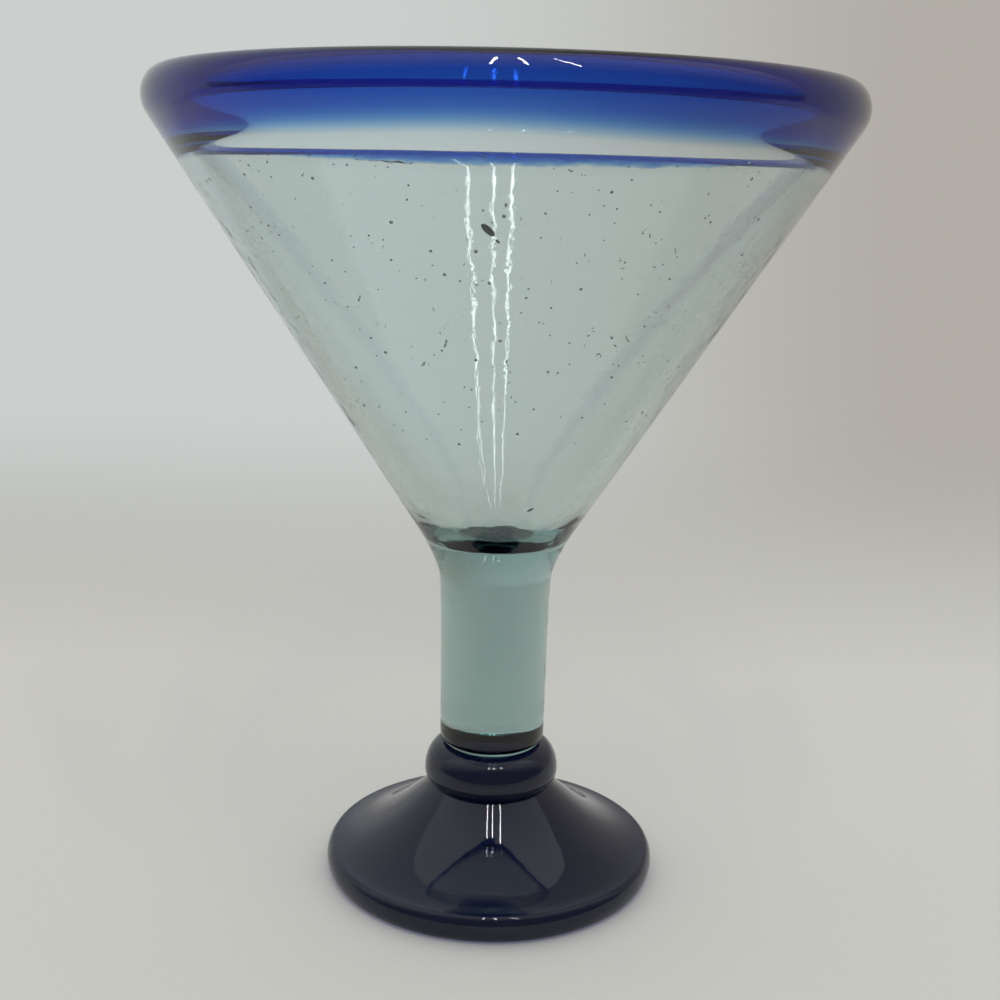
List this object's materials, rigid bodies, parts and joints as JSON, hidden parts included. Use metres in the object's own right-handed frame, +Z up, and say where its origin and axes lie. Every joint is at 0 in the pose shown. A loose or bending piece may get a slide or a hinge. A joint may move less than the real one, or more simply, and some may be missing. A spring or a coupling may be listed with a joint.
{
  "type": "margarita glass",
  "caption": "Hand-blown stemmed drinking glass with a wide conical bowl, a rolled cobalt lip, a solid clear stem and a cobalt knop and foot.",
  "frame": {"origin": "centre of the foot's footprint, on the surface the glass stands on", "axes": "+Z up along the glass's axis of turning, from the foot to the lip; +X and +Y are any two directions square to it"},
  "size_m": [0.138, 0.138, 0.165],
  "materials": {
    "clear_glass_bowl": "fire-polished clear soda-lime glass with a faint green tint and small seeds",
    "clear_glass_stem": "fire-polished solid clear glass, aqua where it is thick",
    "cobalt_glass_lip": "fire-polished cobalt glass, fading to clear down the inside of the bowl",
    "cobalt_glass_dark": "fire-polished solid cobalt glass, nearly black where it is thick"
  },
  "bodies": {
    "root": {"foot": "cobalt_glass_dark", "knop": "cobalt_glass_dark", "stem": "clear_glass_stem", "bowl": "clear_glass_bowl", "lip_ring": "cobalt_glass_lip"}
  },
  "joints": []
}
